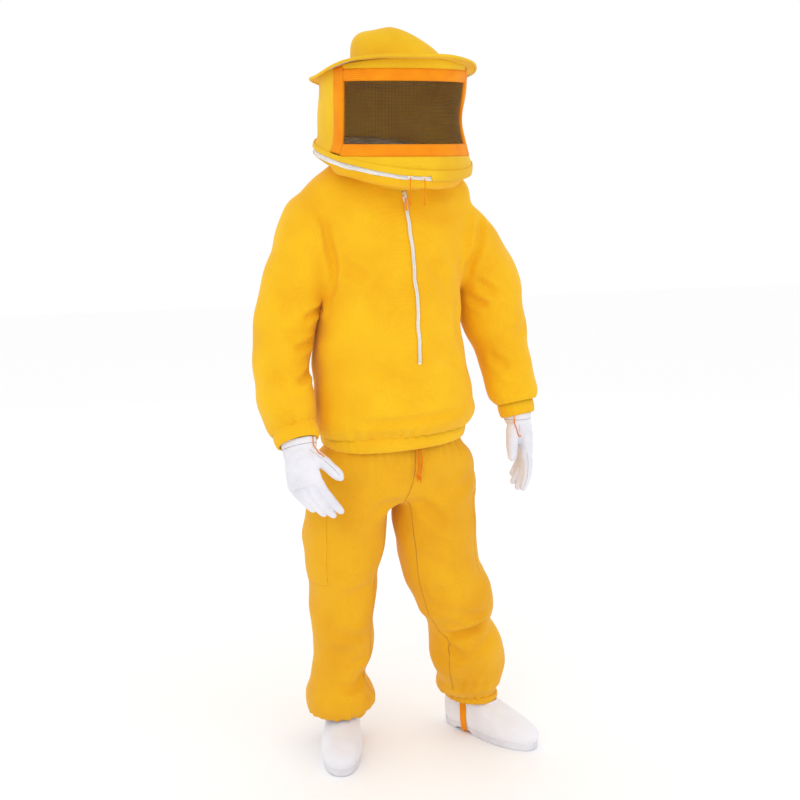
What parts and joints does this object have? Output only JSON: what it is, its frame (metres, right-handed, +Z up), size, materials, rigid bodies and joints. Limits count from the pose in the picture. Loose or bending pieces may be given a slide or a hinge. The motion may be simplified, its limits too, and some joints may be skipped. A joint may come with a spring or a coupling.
{
  "type": "beekeeping suit",
  "caption": "Yellow ventilated beekeeping suit with a round veiled hat, half-zip jacket, trousers, white gloves and clogs.",
  "frame": {"origin": "middle of the suit's bounding box, on the floor", "axes": "+Z up; the wearer faces -Y; +X is the wearer's left"},
  "size_m": [0.7298, 0.4015, 1.8477],
  "materials": {
    "spacer_fabric": "matte three-layer mesh",
    "orange_tape": "woven tape",
    "white_zip": "moulded coil on woven tape",
    "black_net": "fine stiff net",
    "glove_leather": "smooth white leather",
    "clog_foam": "smooth moulded foam",
    "sole_rubber": "moulded",
    "spring_steel": "drawn wire"
  },
  "bodies": {
    "hood": {"veil_lower_hoop": "spring_steel", "hood_zip_tape": "white_zip", "hat_brim": "spacer_fabric", "brim_edge_binding": "spacer_fabric", "brim_hoop": "spring_steel", "hat_crown": "spacer_fabric", "hat_sweatband": "spacer_fabric", "veil_back_panel": "spacer_fabric", "veil_lower_band": "spacer_fabric", "veil_upper_band": "spacer_fabric", "window_binding_left": "orange_tape", "window_binding_right": "orange_tape", "window_binding_top": "orange_tape", "window_binding_bottom": "orange_tape", "window_mesh": "black_net"},
    "neck_slider_left": {"hood_zip_slider_left": "white_zip"},
    "neck_pull_left": {"hood_zip_pull_left": "orange_tape"},
    "arm_left": {"sleeve_left": "spacer_fabric", "cuff_left": "spacer_fabric"},
    "hand_left": {"glove_left": "glove_leather", "thumb_loop_left": "orange_tape"},
    "leg_left": {"trouser_leg_left": "spacer_fabric", "pocket_left": "spacer_fabric", "ankle_cuff_left": "spacer_fabric"},
    "foot_left": {"clog_upper_left": "clog_foam", "insole_left": "sole_rubber", "outsole_left": "sole_rubber", "foot_strap_left": "orange_tape"},
    "neck_slider_right": {"hood_zip_slider_right": "white_zip"},
    "neck_pull_right": {"hood_zip_pull_right": "orange_tape"},
    "arm_right": {"sleeve_right": "spacer_fabric", "cuff_right": "spacer_fabric"},
    "hand_right": {"glove_right": "glove_leather", "thumb_loop_right": "orange_tape"},
    "leg_right": {"trouser_leg_right": "spacer_fabric", "pocket_right": "spacer_fabric", "ankle_cuff_right": "spacer_fabric"},
    "foot_right": {"clog_upper_right": "clog_foam", "insole_right": "sole_rubber", "outsole_right": "sole_rubber", "foot_strap_right": "orange_tape"},
    "front_slider": {"front_zip_slider": "white_zip"},
    "front_pull": {"front_zip_pull": "orange_tape"},
    "torso": {"collar_zip_tape": "white_zip", "collar": "spacer_fabric", "front_zip_tape_left": "white_zip", "front_zip_tape_right": "white_zip", "front_zip_stop": "white_zip", "jacket_back": "spacer_fabric", "jacket_front_left": "spacer_fabric", "jacket_front_right": "spacer_fabric", "jacket_hem_band": "spacer_fabric", "trouser_seat": "spacer_fabric", "waist_elastic": "white_zip", "drawstring_left": "orange_tape", "drawstring_right": "orange_tape"}
  },
  "joints": [
    {"name": "hood_tilt", "type": "hinge", "parent": "torso", "child": "hood", "pos_m": [-0.01161, 0.19051, 1.5731], "axis": [-0.9968, -0.016, 0.0786], "range_deg": [0, 100]},
    {"name": "neck_zip_left", "type": "hinge", "parent": "torso", "child": "neck_slider_left", "pos_m": [-0.0107, 0.0003, 1.546], "axis": [0.0802, -0.1987, 0.9768], "range_deg": [0, 160]},
    {"name": "neck_pull_swing_left", "type": "hinge", "parent": "neck_slider_left", "child": "neck_pull_left", "pos_m": [0.00543, -0.19051, 1.4916], "axis": [-0.993, -0.1013, 0.0609], "range_deg": [0, 80]},
    {"name": "neck_zip_right", "type": "hinge", "parent": "torso", "child": "neck_slider_right", "pos_m": [-0.0107, 0.0003, 1.546], "axis": [0.0802, -0.1987, 0.9768], "range_deg": [-160, 0]},
    {"name": "neck_pull_swing_right", "type": "hinge", "parent": "neck_slider_right", "child": "neck_pull_right", "pos_m": [-0.02907, -0.19106, 1.49432], "axis": [-0.993, 0.0695, 0.0957], "range_deg": [0, 80]},
    {"name": "front_zip", "type": "slide", "parent": "torso", "child": "front_slider", "axis": [0.041, -0.1589, -0.9864], "range_m": [0, 0.38]},
    {"name": "front_pull_swing", "type": "hinge", "parent": "front_slider", "child": "front_pull", "pos_m": [-0.0092, -0.09455, 1.44707], "axis": [-0.9991, 0, -0.0415], "range_deg": [0, 80]},
    {"name": "shoulder_left", "type": "hinge", "parent": "torso", "child": "arm_left", "pos_m": [0.1793, 0.0203, 1.385], "axis": [0, -1, 0], "range_deg": [0, 60]},
    {"name": "wrist_left", "type": "hinge", "parent": "arm_left", "child": "hand_left", "pos_m": [0.31273, -0.04369, 0.88838], "axis": [0.3051, 0.9461, -0.1085], "range_deg": [-12, 5]},
    {"name": "hip_left", "type": "hinge", "parent": "torso", "child": "leg_left", "pos_m": [0.1073, 0.0153, 0.715], "axis": [-1, 0, 0], "range_deg": [-15, 45]},
    {"name": "ankle_left", "type": "hinge", "parent": "leg_left", "child": "foot_left", "pos_m": [0.2173, 0.0333, 0.1], "axis": [-0.8387, -0.5446, 0], "range_deg": [-10, 0]},
    {"name": "shoulder_right", "type": "hinge", "parent": "torso", "child": "arm_right", "pos_m": [-0.2007, 0.0203, 1.385], "axis": [0, 1, 0], "range_deg": [0, 60]},
    {"name": "wrist_right", "type": "hinge", "parent": "arm_right", "child": "hand_right", "pos_m": [-0.27784, -0.09097, 0.86485], "axis": [-0.7819, 0.5345, -0.3209], "range_deg": [-12, 12]},
    {"name": "hip_right", "type": "hinge", "parent": "torso", "child": "leg_right", "pos_m": [-0.1287, 0.0153, 0.715], "axis": [-1, 0, 0], "range_deg": [-15, 45]},
    {"name": "ankle_right", "type": "hinge", "parent": "leg_right", "child": "foot_right", "pos_m": [-0.1297, 0.0673, 0.1], "axis": [-0.9455, 0.3256, 0], "range_deg": [-10, 6]}
  ]
}
